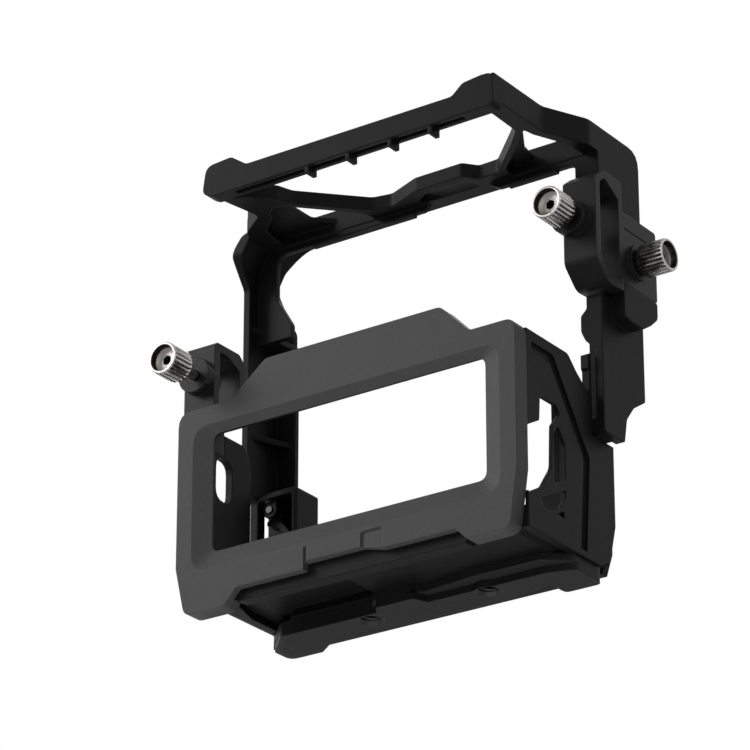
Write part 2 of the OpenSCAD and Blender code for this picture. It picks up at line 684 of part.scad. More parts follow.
module front_frame() {
    difference() {
        plate_y(frame_rows(), frame_y, frame_back);
        plate_y(window_rows(frame_window_share, window_r, frame_head_rise), frame_y - over,
            frame_back + over);
        for (s = bezel_screw_shares) {
            rod_y(small_r, frame_y - over, frame_back + over, half_w * s[0], wall_top * s[1]);
            rod_y(small_head_r, rim_y, frame_back + over, half_w * s[0], wall_top * s[1]);
        }
    }
}

module knuckle() {
    difference() {
        union() {
            plate_y(spread(knuckle_shares, pin_x - knuckle_left, pin_x + knuckle_right,
                floor_z, pin_z, corner_r), knuckle_y0, knuckle_y1);
            rod_y(knuckle_r, knuckle_y0, knuckle_y1, pin_x, pin_z);
        }
        rod_y(pin_r + run_gap, knuckle_y0 - over, knuckle_y1 + over, pin_x, pin_z);
    }
}

module lower_cage() {
    color([0.16, 0.16, 0.17]) {
        right_wall();
        left_wall();
        tray_floor();
        rear_lip();
        front_frame();
        rear_stop();
        knuckle();
    }
}

// Base bar: two steps and the rear feet, with the sockets' seats
function base_rows(shares) = spread(shares, half_w - bar_inset - bar_l, half_w - bar_inset,
    -bar_front, foot_reach, corner_r);

module base_bar() {
    color([0.13, 0.13, 0.14])
    difference() {
        union() {
            plate_z(base_rows(base_low_shares), 0, step_t);
            plate_z(base_rows(base_high_shares), step_t, floor_z);
        }
        for (x = socket_xs)
            rod_z(insert_r, -over, floor_z + over, x, 0);
        for (s = bar_screw_shares)
            rod_z(small_r, floor_z - step_t, floor_z + over, cage_w * s[0], foot_reach * s[1]);
    }
}

module bar_screws() {
    color([0.4, 0.4, 0.4])
    for (s = bar_screw_shares) {
        x = cage_w * s[0];
        y = foot_reach * s[1];
        rod_z(small_r, floor_z - step_t, floor_top, x, y);
        difference() {
            rod_z(small_head_r, floor_top, floor_top + small_head_h, x, y);
            rod_z(socket_head_r, floor_top + socket_head_d, floor_top + small_head_h + over, x, y);
        }
    }
}

module tripod_inserts() {
    color([0.35, 0.35, 0.36])
    for (x = socket_xs)
        translate([x, 0, 0])
            rotate_extrude()
                polygon([
                    [socket_r, socket_chamfer], [insert_r - seat_gap, 0], [insert_r, 0],
                    [insert_r, socket_depth], [socket_r, socket_depth]]);
}

// Guard: front bar, ribbon frame, rear bar and two legs, moulded as one
function plan(shares) =
    spread(shares, -guard_half, guard_half, bar_y, leg_front + bar_d, corner_r + edge_r);

module front_bar() {
    x0 = guard_w * front_bar_x_shares[0];
    x1 = guard_w * front_bar_x_shares[1];
    channel_y = bar_y + (bar_d - channel_w) / 2;
    difference() {
        plate_y(spread(front_bar_shares, x0, x1, bar_z, guard_top, corner_r), bar_y, bar_y + bar_d);
        plate_z(box(x0 + shell_r, x1 - shell_r, channel_y, channel_y + channel_w),
            bar_z - over, bar_z + channel_d);
    }
    for (s = bar_rib_shares)
        plate_z(box(x0 + (x1 - x0) * s, x0 + (x1 - x0) * s + bar_rib_w, channel_y - edge_r,
            channel_y + channel_w + edge_r), bar_z - bar_rib_h, bar_z + channel_d + edge_r);
}

module top_frame() {
    z1 = bar_z + (guard_top - bar_z) * bar_crest_share;
    z0 = z1 - strut_t;
    difference() {
        plate_z(plan(top_plan_shares), z0, z1);
        for (shares = [main_opening_shares, left_opening_shares, middle_opening_shares,
                right_opening_shares])
            plate_z(plan(shares), z0 - over, z1 + over);
        for (shares = [left_gusset_shares, right_gusset_shares])
            plate_z(plan(shares), z0 - over, z1 - gusset_t);
    }
    plate_z(plan(right_arm_shares), z0, guard_top);
    plate_z(plan(left_arm_shares), z0, guard_top);
}

module rear_frame() {
    plate_y(spread(rear_frame_shares, -leg_in - over, leg_in + over, guard_top - rear_frame_drop,
        guard_top, rear_frame_r), leg_front, leg_front + web_t);
}

module right_leg() {
    web_y = leg_front + leg_d * web_y_share;
    difference() {
        union() {
            plate_x(spread(right_leg_shares, leg_front, leg_back, foot_z, guard_top, corner_r + edge_r),
                leg_in, guard_half);
            plate_y(box(flange_in, leg_in + over, right_clamp_top, guard_top),
                leg_front, leg_front + leg_t);
            plate_y(spread(lobe_shares, flange_in, leg_in + over, lobe_z, right_z0, corner_r),
                leg_front, leg_front + leg_t);
            plate_y(box(flange_in + web_t, leg_in + over, foot_z, right_z0),
                leg_front + leg_t, leg_front + leg_t + web_t);
            plate_y(box(flange_in + web_t, leg_in + over, wall_top, guard_top - web_t),
                web_y, web_y + web_t);
            rod_x(lock_boss_r, flange_in + edge_r, leg_in + over, lock_y, lock_z);
            plate_x(box(leg_front + guard_gap, cage_rear - web_t, foot_z, foot_z + foot_hook_h, edge_r),
                guard_half - foot_hook_w, leg_in + over);
        }
        plate_x(box(0, notch_y, right_z0 - guard_gap, right_clamp_top + seat_gap), 0, guard_w);
        rod_x(lock_sleeve_r, 0, guard_w, lock_y, lock_z);
    }
    plate_x(spread(shelf_shares, notch_y, lock_back, lock_z0 - seat_gap - shelf_h,
        lock_z0 - seat_gap, shelf_r), guard_half - over, lock_x);
}

module left_leg() {
    web_y = leg_front + leg_d * web_y_share;
    web_top = guard_top - rear_frame_drop;
    intersection() {
        plate_x(spread(left_leg_shares, left_leg_front, left_leg_back, box_z, guard_top,
            corner_r + edge_r), -guard_half - over, 0);
        plate_y(spread(left_shell_shares, -guard_half, left_shell_w - guard_half, box_z,
            guard_top, shell_r), bar_y, leg_back);
    }
    plate_y(box(-leg_in - over, -guard_half + flange_w + edge_r, box_top - web_t, web_top + web_t),
        web_y, web_y + web_t);
    plate_z(box(-leg_in - over, -guard_half + flange_w + edge_r, leg_front, web_y + web_t),
        web_top, web_top + web_t);
    for (s = left_rib_shares) {
        z = box_top + (guard_top - box_top) * s;
        plate_z([[-leg_in - over, leg_front - corner_r, 0], [-leg_in - over, web_y + edge_r, 0],
            [-guard_half + flange_w, web_y + edge_r, 0]], z, z + web_t);
    }
}

module hinge_box() {
    x0 = -guard_half;
    x1 = x0 + box_w;
    difference() {
        plate_y(box(x0, x1, box_z, box_top, edge_r), box_y0, box_y1);
        plate_y(box(x0 + leg_t, x1 - web_t, box_z - over, box_top - web_t, edge_r),
            box_y0 - over, box_y1 - web_t);
        rod_y(pin_r, box_y0, box_y1 + over, pin_x, pin_z);
    }
    difference() {
        union() {
            rod_y(ear_r, ear_y0, ear_y1, pin_x, pin_z);
            plate_y(box(pin_x, pin_x + ear_rib_w, pin_z, box_top - edge_r), ear_y0, ear_y1);
        }
        rod_y(pin_r, ear_y0 - over, ear_y1 + over, pin_x, pin_z);
    }
}

module guard_frame() {
    color([0.15, 0.15, 0.16]) {
        front_bar();
        top_frame();
        rear_frame();
        right_leg();
        difference() {
            union() {
                left_leg();
                hinge_box();
            }
            plate_y(box(-guard_half - over, leg_t - guard_half + over, box_z - over, box_top - web_t),
                knuckle_y0 - guard_gap, knuckle_y1 + guard_gap);
        }
    }
}

module hinge_pin() {
    color([0.6, 0.6, 0.6])
        rod_y(pin_r, ear_y0 - pin_end, box_y1, pin_x, pin_z);
}

// Two soft strips under the rear bar
module rest_pads() {
    z = guard_top - rear_frame_drop * (1 - rear_opening_share);
    color([0.08, 0.08, 0.08])
    for (s = pad_strip_shares)
        plate_z(box(guard_w * s[0], guard_w * s[1], leg_front + seat_gap, leg_front + web_t - seat_gap),
            z - pad_strip_t, z);
}

// Plug clamps: loops that a cable plug passes through
module left_plug_clamp() {
    color([0.17, 0.17, 0.18])
    difference() {
        union() {
            plate_x(spread(left_loop_shares, left_y0, left_y1, left_z0, left_clamp_top, corner_r),
                left_x0, left_x1);
            plate_x(box(rim_y, left_y1, left_foot_z, left_z0 + edge_r), left_x0, -wall_in);
            rod_y(boss_r, left_y0 - boss_h, left_y0 + clamp_t, left_screw_x, left_screw_z);
        }
        plate_x(spread(left_hollow_shares, left_y0 + clamp_t, left_y1, left_z0, left_clamp_top,
            corner_r), left_x0 - edge_r, left_x1 + edge_r);
        rod_y(sleeve_r, left_y0 - boss_h - over, left_y0 + clamp_t + over, left_screw_x, left_screw_z);
    }
}

module right_plug_clamp() {
    line_z = lock_z0 + (lock_z1 - lock_z0) * lock_line_share;
    plate_x0 = guard_half + seat_gap;
    color([0.17, 0.17, 0.18])
    difference() {
        union() {
            plate_x(spread(right_loop_shares, right_y0, right_clamp_back, right_z0, right_clamp_top,
                corner_r + edge_r), right_x0, lock_x);
            plate_x(box(right_clamp_back - edge_r, lock_back, lock_z0, lock_z1, edge_r),
                plate_x0, lock_x);
            rod_y(boss_r, right_y0 - boss_h, right_y0 + clamp_t, right_screw_x, right_screw_z);
            rod_x(boss_r, lock_x - edge_r, lock_x + lock_boss_h, lock_y, lock_z);
        }
        plate_x(spread(right_hollow_shares, right_y0 + clamp_t, right_clamp_back, right_z0, right_clamp_top,
            corner_r + edge_r), right_x0 - over, lock_x + over);
        rod_y(sleeve_r, right_y0 - boss_h - over, right_y0 + clamp_t + over, right_screw_x,
            right_screw_z);
        rod_x(screw_r + run_gap, right_x0, lock_x + lock_boss_h + over, lock_y, lock_z);
        rod_x(clip_r + clip_gap, plate_x0 - over, plate_x0 + clip_seat_d, lock_y, lock_z);
        plate_x(box(right_clamp_back + edge_r, lock_back + over, line_z, line_z + lock_line_w),
            lock_x - lock_line_w, lock_x + over);
    }
}

// Threaded sleeves
module sleeve_y(y0, y1, x, z) {
    difference() {
        rod_y(sleeve_r, y0, y1, x, z);
        rod_y(screw_r + run_gap, y0 - over, y1 + over, x, z);
    }
}

module left_clamp_insert() {
    color([0.6, 0.5, 0.3])
        sleeve_y(left_y0 - boss_h, left_y0 + clamp_t, left_screw_x, left_screw_z);
}

module right_clamp_insert() {
    color([0.6, 0.5, 0.3])
        sleeve_y(right_y0 - boss_h, right_y0 + clamp_t, right_screw_x, right_screw_z);
}

module side_lock_insert() {
    color([0.6, 0.5, 0.3])
    difference() {
        rod_x(lock_sleeve_r, flange_in + edge_r, guard_half, lock_y, lock_z);
        rod_x(screw_r + run_gap, flange_in, guard_w, lock_y, lock_z);
    }
}

// Thumbscrew along +Z: the collar ends at zero, the knob lies below and the shank above
function knurl() = [for (i = [0 : flutes - 1], s = flute_shares)
    let (a = 360 * (i + s[0]) / flutes, r = knob_r - flute_d * s[1])
    [r * cos(a), r * sin(a)]];

module knob_envelope(z0) {
    c = knob_chamfer;
    e = over + c;
    rotate_extrude()
        polygon([[0, z0], [knob_r - c, z0], [knob_r + over, z0 + e], [knob_r + over, -collar_l - e],
            [knob_r - c, -collar_l], [0, -collar_l]]);
}

module thumbscrew(reach) {
    z0 = -collar_l - knob_l;
    color([0.75, 0.74, 0.72])
    difference() {
        union() {
            intersection() {
                translate([0, 0, z0]) linear_extrude(knob_l) polygon(knurl());
                knob_envelope(z0);
            }
            rod_z(collar_r, -collar_l - over, 0, 0, 0);
            rod_z(screw_r, -over, reach, 0, 0);
            rod_z(tip_r, reach - over, reach + tip_l, 0, 0);
        }
        difference() {
            rod_z(knob_r - flute_d - cup_t, z0 - over, z0 + cup_d, 0, 0);
            rod_z(hub_r, z0 + cup_d - hub_h, z0 + cup_d + over, 0, 0);
        }
        translate([0, 0, z0 + cup_d - hub_h - over])
            cylinder(r = hex_w / sqrt(3), h = hex_d + over, $fn = 6);
    }
}

module press_pad(x, y, z) {
    difference() {
        rod_y(pad_r, y, y + pad_t, x, z);
        rod_y(tip_r + run_gap, y - over, y + tip_l + run_gap, x, z);
    }
}

module left_press_screw() {
    y = left_y0 - boss_h - left_gap;
    translate([left_screw_x, y, left_screw_z])
        rotate([-90, 0, 0])
            thumbscrew(left_pad_y - run_gap - y);
}

module left_press_pad() {
    color([0.1, 0.1, 0.1]) press_pad(left_screw_x, left_pad_y, left_screw_z);
}

module right_press_screw() {
    y = right_y0 - boss_h - right_gap;
    translate([right_screw_x, y, right_screw_z])
        rotate([-90, 0, 0])
            thumbscrew(right_pad_y - run_gap - y);
}

module right_press_pad() {
    color([0.1, 0.1, 0.1]) press_pad(right_screw_x, right_pad_y, right_screw_z);
}

module side_lock_screw() {
    x = lock_x + lock_boss_h + lock_gap;
    translate([x, lock_y, lock_z])
        rotate([0, -90, 0])
            thumbscrew(x - guard_half + lock_bite - tip_l);
}

module side_screw_clip() {
    x0 = guard_half + seat_gap + clip_gap;
    color([0.5, 0.5, 0.5])
    difference() {
        rod_x(clip_r, x0, x0 + clip_t, lock_y, lock_z);
        rod_x(screw_r, x0 - over, x0 + clip_t + over, lock_y, lock_z);
    }
}

lower_cage();
front_bezel();
bezel_screws();
base_bar();
bar_screws();
tripod_inserts();
guard_frame();
rest_pads();
hinge_pin();
left_plug_clamp();
left_clamp_insert();
left_press_pad();
left_press_screw();
right_plug_clamp();
right_clamp_insert();
right_press_pad();
right_press_screw();
side_lock_insert();
side_lock_screw();
side_screw_clip();
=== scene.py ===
import math
from collections import namedtuple

import bmesh
import bpy
from mathutils import Matrix, Vector


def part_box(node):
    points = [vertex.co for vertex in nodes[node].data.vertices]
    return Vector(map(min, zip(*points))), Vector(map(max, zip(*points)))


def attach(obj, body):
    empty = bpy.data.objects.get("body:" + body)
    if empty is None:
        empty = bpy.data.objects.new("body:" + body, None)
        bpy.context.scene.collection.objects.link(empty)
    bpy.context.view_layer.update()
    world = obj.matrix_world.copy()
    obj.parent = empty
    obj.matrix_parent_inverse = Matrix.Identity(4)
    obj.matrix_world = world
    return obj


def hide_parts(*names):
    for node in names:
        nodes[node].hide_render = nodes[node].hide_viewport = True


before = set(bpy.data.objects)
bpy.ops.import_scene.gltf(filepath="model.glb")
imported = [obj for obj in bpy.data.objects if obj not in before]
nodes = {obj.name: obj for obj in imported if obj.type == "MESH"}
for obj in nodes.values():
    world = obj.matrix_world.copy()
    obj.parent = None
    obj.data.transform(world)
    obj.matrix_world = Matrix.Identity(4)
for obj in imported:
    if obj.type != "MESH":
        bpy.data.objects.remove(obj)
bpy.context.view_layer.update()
MM = 0.001
scene = bpy.context.scene

# Thumbscrews in millimetres: knurled knob, plain collar, threaded shank with a plain tip
KNOB_R = 4.5
KNOB_L = 7.8
FLUTES = 24
FLUTE_D = 0.45
COLLAR_R = 3.6
COLLAR_L = 0.9
COLLAR_ROUND_R = 0.25
COLLAR_ROUND_L = 0.2
SCREW_R = 1.45
SCREW_PITCH = 0.5
SCREW_THREAD_D = 0.2
SCREW_NECK_D = 0.12
RUNOUT_AT_COLLAR = 0.3
RUNOUT_AT_TIP = 0.8
TIP_R = 0.9
TIP_L = 1.0
TIP_CHAMFER = 0.15

# Root of the knob: distance past the collar, inset from the knob's radius, share of the flutes
KNOB_ROOT = ((0.0, 0.75, 0.0), (0.12, 0.42, 0.1), (0.5, 0.06, 0.95), (0.62, 0.0, 1.0))
# End of the flutes: distance from the end face, inset, share of the flutes
FLUTE_END = ((0.6, 0.0, 1.0), (0.48, 0.02, 0.8), (0.36, 0.06, 0.25), (0.3, 0.1, 0.0))
# Bright rim, and the cup's wall painted dark as shade: distance from the end face, inset
KNOB_RIM = ((0.2, 0.11), (0.05, 0.24), (0.0, 0.36), (0.0, 0.66), (0.06, 0.78))
CUP_WALL_RINGS = ((0.5, 0.84), (1.95, 0.9))
CUP_DEPTH = 2.1
CUP_CORNER_INSET = 1.04
CUP_CENTRE_R = 1.5
# Hexagon socket in the cup's floor: half its width, its chamfer and its depth
HEX_HALF = 1.08
HEX_CHAMFER = 0.08
HEX_CHAMFER_TOP = 0.02
HEX_CHAMFER_FOOT = 0.12
HEX_DEPTH = 2.1

# Steps round the knob, the land's share of a flute's pitch, and how round the groove's bottom is
STEPS_PER_FLUTE = 10
KNOB_STEPS = FLUTES * STEPS_PER_FLUTE
LAND_SHARE = 0.34
GROOVE_POWER = 0.7
# The steps of each flute painted dark as the groove's shade, and the spans along the flutes
SHADED_GROOVE_STEPS = (5, 6, 7)
KNOB_SPANS = 5
# Steps round the threads, and rows for each of their turns
SHANK_STEPS = 40
SOCKET_STEPS = 64
ROWS_PER_TURN = 10
# Edges sharper than this aren't shaded smooth
SHARP_ANGLE = math.radians(50)

# Tripod sockets in millimetres: quarter-inch thread in the inserts
INSERT_R = 3.6
SOCKET_R = 2.6
SOCKET_PITCH = 1.27
SOCKET_THREAD_D = 0.4
SOCKET_MOUTH = 0.9
SOCKET_FADE = 0.5
SOCKET_PLAY = 0.02

# Material slots of a thumbscrew; the groove, cup wall and cup floor slots hold nickel painted darker as
# shade, and the dark slot is painted shade inside the hex socket
SIDE, GROOVE, CUP_WALL, DARK, RIM, CUP_FLOOR = range(6)

# The range where most of a noise's values lie
NOISE_LOW = 0.3
NOISE_HIGH = 0.7
# Noise scales, in waves per metre of the object
TONE_SCALE = 55.0
PATCH_SCALE = 900.0
GRAIN_SCALE = 3200.0
SMUDGE_SCALE = 420.0
TOOL_MARK_SCALE = 5200.0
DUST_SCALE = 700.0
PORE_SCALE = 4200.0
# Bump heights in metres
GRAIN_HEIGHT = 0.00004
TOOL_MARK_HEIGHT = 0.00002
PORE_HEIGHT = 0.00005
BEVEL_SAMPLES = 6
# Cosine between a face's normal and its rounded one where an edge's painted highlight is at full
# strength
HIGHLIGHT_COSINE = 0.86

# Floor in metres, and strengths of floor and background, where 1 is white
FLOOR_HALF = 3.0
FLOOR_DROP = 0.0005
FLOOR_GREY = 0.86
FLOOR_ROUGH = 0.9
FLOOR_SPECULAR = 0.1
FLOOR_GLOW = 0.45
FILL_LIGHT = 0.1
WHITE = (1, 1, 1, 1)
SEEING_RAYS = ("Is Camera Ray", "Is Transmission Ray", "Is Glossy Ray")

# Camera, solved from the photo's straight edges: degrees, and the eye's place in millimetres
CAMERA_TURN = 35.0534
CAMERA_TILT = 24.076
CAMERA_ROLL = -0.0277
CAMERA_EYE = (547.1, -793.6, -364.1)
CAMERA_LENS = 192.6
CAMERA_SENSOR = 36.0
CLIP_START = 0.05
CLIP_END = 20.0
# Where the lamps aim, in metres
MIDDLE = (0.0, 0.0, 0.062)


# Shader helpers
def shader(name):
    mat = bpy.data.materials.new(name)
    mat.use_nodes = True
    tree = mat.node_tree
    return mat, tree, tree.nodes["Principled BSDF"]


def add(tree, kind, inputs=None, **props):
    node = tree.nodes.new(kind)
    for key, value in props.items():
        setattr(node, key, value)
    for key, value in (inputs or {}).items():
        node.inputs[key].default_value = value
    return node


def noise(tree, coords, scale, detail, rough):
    node = add(tree, "ShaderNodeTexNoise", {"Scale": scale, "Detail": detail, "Roughness": rough})
    tree.links.new(coords.outputs["Object"], node.inputs["Vector"])
    return node


def grey(colour, share):
    return (colour[0] * share, colour[1] * share, colour[2] * share, 1.0)


def ramp(tree, source, colour, low_share, high_share, low=NOISE_LOW, high=NOISE_HIGH):
    """A colour that goes from its low share to its high share as the noise goes from low to high."""
    node = add(tree, "ShaderNodeValToRGB")
    first, last = node.color_ramp.elements
    first.position, first.color = low, grey(colour, low_share)
    last.position, last.color = high, grey(colour, high_share)
    tree.links.new(source.outputs["Fac"], node.inputs["Fac"])
    return node.outputs["Color"]


def spread(tree, source, low, high):
    """A noise's usual range, spread over low to high."""
    span = {"From Min": NOISE_LOW, "From Max": NOISE_HIGH, "To Min": low, "To Max": high}
    node = add(tree, "ShaderNodeMapRange", span)
    tree.links.new(source.outputs["Fac"], node.inputs["Value"])
    return node.outputs["Result"]


def rounded_edges(tree, radius_mm):
    return add(tree, "ShaderNodeBevel", {"Radius": radius_mm * MM}, samples=BEVEL_SAMPLES)


def bumped(tree, bsdf, height, strength, distance, base=None):
    """Fine relief from a noise, on top of the rounded edges where there are any."""
    bump = add(tree, "ShaderNodeBump", {"Strength": strength, "Distance": distance})
    tree.links.new(height.outputs["Fac"], bump.inputs["Height"])
    if base:
        tree.links.new(base.outputs["Normal"], bump.inputs["Normal"])
    tree.links.new(bump.outputs["Normal"], bsdf.inputs["Normal"])


def any_of(tree, outputs):
    """One where any of the outputs is one."""
    value = outputs[0]
    for other in outputs[1:]:
        node = add(tree, "ShaderNodeMath", operation="MAXIMUM")
        tree.links.new(value, node.inputs[0])
        tree.links.new(other, node.inputs[1])
        value = node.outputs["Value"]
    return value


# Materials
def edge_highlight_share(tree, rounded):
    """Mask of the painted edge highlight: zero on flat faces, rising to one where the rounded normal
    leaves the face's own.
    """
    geometry = add(tree, "ShaderNodeNewGeometry")
    dot = add(tree, "ShaderNodeVectorMath", operation="DOT_PRODUCT")
    tree.links.new(rounded.outputs["Normal"], dot.inputs[0])
    tree.links.new(geometry.outputs["Normal"], dot.inputs[1])
    span = {"From Min": 1.0, "From Max": HIGHLIGHT_COSINE, "To Min": 0.0, "To Max": 1.0}
    highlight_range = add(tree, "ShaderNodeMapRange", span)
    tree.links.new(dot.outputs["Value"], highlight_range.inputs["Value"])
    return highlight_range.outputs["Result"]


def moulded(name, colour, rough, specular, grain=0.35, edge=1.7, edge_r=0.35):
    """Spark-eroded plastic: fine grain, slow changes of tone and sheen, and edges brightened in patches
    as a painted highlight.

    edge is how many times brighter the painted edge highlight is, and edge_r its radius in millimetres.
    """
    mat, tree, bsdf = shader(name)
    coords = add(tree, "ShaderNodeTexCoord")
    broad = noise(tree, coords, TONE_SCALE, detail=4.0, rough=0.6)
    fine = noise(tree, coords, GRAIN_SCALE, detail=2.0, rough=0.6)
    patches = noise(tree, coords, PATCH_SCALE, detail=3.0, rough=0.55)
    tone = ramp(tree, broad, colour, low_share=0.96, high_share=1.05)
    speck = ramp(tree, fine, WHITE, low_share=0.88, high_share=1.1, low=0.35, high=0.65)
    speckled = add(tree, "ShaderNodeMix", {"Factor": 1.0}, data_type="RGBA", blend_type="MULTIPLY")
    tree.links.new(tone, speckled.inputs["A"])
    tree.links.new(speck, speckled.inputs["B"])

    rounded = rounded_edges(tree, edge_r)
    # Painted highlight: the colour is brightened along the edges, in patches, for light catching them
    patchy = add(tree, "ShaderNodeMath", operation="MULTIPLY")
    tree.links.new(edge_highlight_share(tree, rounded), patchy.inputs[0])
    tree.links.new(patches.outputs["Fac"], patchy.inputs[1])
    highlighted = add(tree, "ShaderNodeMix", data_type="RGBA", blend_type="MIX")
    highlighted.inputs["B"].default_value = grey(colour, edge)
    tree.links.new(patchy.outputs["Value"], highlighted.inputs["Factor"])
    tree.links.new(speckled.outputs["Result"], highlighted.inputs["A"])
    tree.links.new(highlighted.outputs["Result"], bsdf.inputs["Base Color"])

    sheen = spread(tree, patches, low=rough - 0.02, high=rough + 0.03)
    tree.links.new(sheen, bsdf.inputs["Roughness"])
    bumped(tree, bsdf, fine, strength=grain, distance=GRAIN_HEIGHT, base=rounded)
    bsdf.inputs["Specular IOR Level"].default_value = specular
    return mat


def metal(name, colour, rough, scratch=0.15, bevel=0.12):
    """Turned or plated metal, with fine tool marks and soft smudges."""
    mat, tree, bsdf = shader(name)
    coords = add(tree, "ShaderNodeTexCoord")
    smudge = noise(tree, coords, SMUDGE_SCALE, detail=3.0, rough=0.55)
    marks = noise(tree, coords, TOOL_MARK_SCALE, detail=2.0, rough=0.5)
    tone = ramp(tree, smudge, colour, low_share=0.86, high_share=1.08)
    tree.links.new(tone, bsdf.inputs["Base Color"])
    sheen = spread(tree, smudge, low=rough - 0.06, high=rough + 0.08)
    tree.links.new(sheen, bsdf.inputs["Roughness"])
    rounded = rounded_edges(tree, bevel)
    bumped(tree, bsdf, marks, strength=scratch, distance=TOOL_MARK_HEIGHT, base=rounded)
    bsdf.inputs["Metallic"].default_value = 1.0
    return mat


def rubber(name, colour, rough, specular):
    """Dull rubber with pores and a little dust."""
    mat, tree, bsdf = shader(name)
    coords = add(tree, "ShaderNodeTexCoord")
    dust = noise(tree, coords, DUST_SCALE, detail=5.0, rough=0.7)
    pores = noise(tree, coords, PORE_SCALE, detail=2.0, rough=0.5)
    tone = ramp(tree, dust, colour, low_share=0.8, high_share=1.5, high=0.75)
    tree.links.new(tone, bsdf.inputs["Base Color"])
    bumped(tree, bsdf, pores, strength=0.4, distance=PORE_HEIGHT)
    bsdf.inputs["Roughness"].default_value = rough
    bsdf.inputs["Specular IOR Level"].default_value = specular
    return mat


# One black plastic throughout: the bezel and base bar get lighter copies and the cage, guard and clamps
# darker ones, painted light and shade for how the lamps fall on each part
bezel_mat = moulded("bezel_plastic", (0.061, 0.061, 0.0618), rough=0.52, specular=0.12, grain=0.45)
cage_mat = moulded(
    "cage_plastic", (0.0085, 0.0085, 0.0088), rough=0.46, specular=0.06, edge=2.8, edge_r=0.5)
base_mat = moulded("base_plastic", (0.032, 0.032, 0.0326), rough=0.46, specular=0.05)
guard_mat = moulded(
    "guard_plastic", (0.0083, 0.0083, 0.0085), rough=0.44, specular=0.055, edge=2.8, edge_r=0.6)
clamp_mat = moulded(
    "clamp_plastic", (0.013, 0.013, 0.0133), rough=0.4, specular=0.1, edge=3.0, edge_r=0.4)
rim_mat = metal("nickel", (0.4, 0.39, 0.375), rough=0.3, scratch=0.06, bevel=0.06)
side_mat = metal("nickel_side", (0.48, 0.468, 0.45), rough=0.22, scratch=0.02, bevel=0.04)
# A darker copy of the nickel: painted shade on the floor of the cup
floor_mat = metal("nickel_cup_floor_painted_shade", (0.2, 0.19, 0.178), rough=0.34, scratch=0.05, bevel=0.04)
# Painted shade: near-black nickel for the bottoms of the flutes
groove_shade_mat = metal("nickel_groove_painted_shade", (0.018, 0.017, 0.016), rough=0.45)
# Painted shade: nickel made near black for the cup's wall
cup_wall_shade_mat = metal("nickel_cup", (0.07, 0.062, 0.056), rough=0.3)
# Black oxide on the small screws and the clip; the thumbscrews' collar and shank are dark too, and in
# the hex socket this dark is painted shade
dark_mat = metal("black_oxide_and_painted_shade", (0.03, 0.03, 0.03), rough=0.4)
insert_mat = metal("plated_insert", (0.05, 0.05, 0.052), rough=0.4)
pin_mat = metal("dark_pin", (0.05, 0.05, 0.05), rough=0.42)
# Painted shade: the clamp and lock inserts made near black, for the knobs' shadow over them
brass_shade_mat = metal("brass_painted_shade", (0.02, 0.019, 0.017), rough=0.45)
pad_mat = rubber("pad_rubber", (0.016, 0.016, 0.016), rough=0.82, specular=0.25)

LOOKS = {
    "lower_cage": cage_mat,
    "front_bezel": bezel_mat,
    "bezel_screws": dark_mat,
    "base_bar": base_mat,
    "bar_screws": dark_mat,
    "tripod_inserts": insert_mat,
    "guard_frame": guard_mat,
    "rest_pads": pad_mat,
    "hinge_pin": pin_mat,
    "left_plug_clamp": clamp_mat,
    "left_clamp_insert": brass_shade_mat,
    "left_press_pad": pad_mat,
    "left_press_screw": rim_mat,
    "right_plug_clamp": clamp_mat,
    "right_clamp_insert": brass_shade_mat,
    "right_press_pad": pad_mat,
    "right_press_screw": rim_mat,
    "side_lock_insert": brass_shade_mat,
    "side_lock_screw": rim_mat,
    "side_screw_clip": dark_mat,
}
for name, mat in LOOKS.items():
    nodes[name].data.materials.clear()
    nodes[name].data.materials.append(mat)


# Turned surfaces
def smooth01(x):
    x = min(max(x, 0.0), 1.0)
    return x * x * (3 - 2 * x)


def vee(z, pitch, turn):
    """Height of a helical V thread, as a share, at height z and at a share of the turn."""
    return abs(2 * ((z / pitch - turn) % 1.0) - 1)


def ring(bm, radii, z, x=0.0, y=0.0):
    """A closed ring of points in millimetres, with one radius for each step of the turn."""
    points = []
    for i, r in enumerate(radii):
        angle = 2 * math.pi * i / len(radii)
        points.append(bm.verts.new(Vector((x + r * math.cos(angle), y + r * math.sin(angle), z)) * MM))
    return points


def band(bm, first, second, look=0, along=False):
    """Smooth quads between two rings with the same number of points."""
    quads = []
    for i in range(len(first)):
        j = (i + 1) % len(first)
        if along:
            corners = (first[i], second[i], second[j], first[j])
        else:
            corners = (first[i], first[j], second[j], second[i])
        quad = bm.faces.new(corners)
        quad.material_index = look
        quad.smooth = True
        quads.append(quad)
    return quads


def mesh_object(name, bm, materials):
    mesh = bpy.data.meshes.new(name)
    bm.to_mesh(mesh)
    bm.free()
    for mat in materials:
        mesh.materials.append(mat)
    ob = bpy.data.objects.new(name, mesh)
    scene.collection.objects.link(ob)
    return ob


# Thumbscrews: a ring has a height, its radii, a material slot and its share of the flutes' depth
Ring = namedtuple("Ring", "z radii look flute_share", defaults=(0.0,))


def groove_share(i):
    """Depth of the flute at step i, as a share: a flat land, then a round-bottomed groove."""
    t = (i % STEPS_PER_FLUTE) / STEPS_PER_FLUTE
    if t < LAND_SHARE:
        return 0.0
    return math.sin(math.pi * (t - LAND_SHARE) / (1 - LAND_SHARE)) ** GROOVE_POWER


def fluted(r, share=0.0):
    return [r - share * FLUTE_D * groove_share(i) for i in range(KNOB_STEPS)]


def hexagon(half):
    """Radii of a hexagon that is twice half across its flats."""
    sector = math.pi / 3
    angles = [2 * math.pi * i / KNOB_STEPS for i in range(KNOB_STEPS)]
    return [half / math.cos(a % sector - sector / 2) for a in angles]


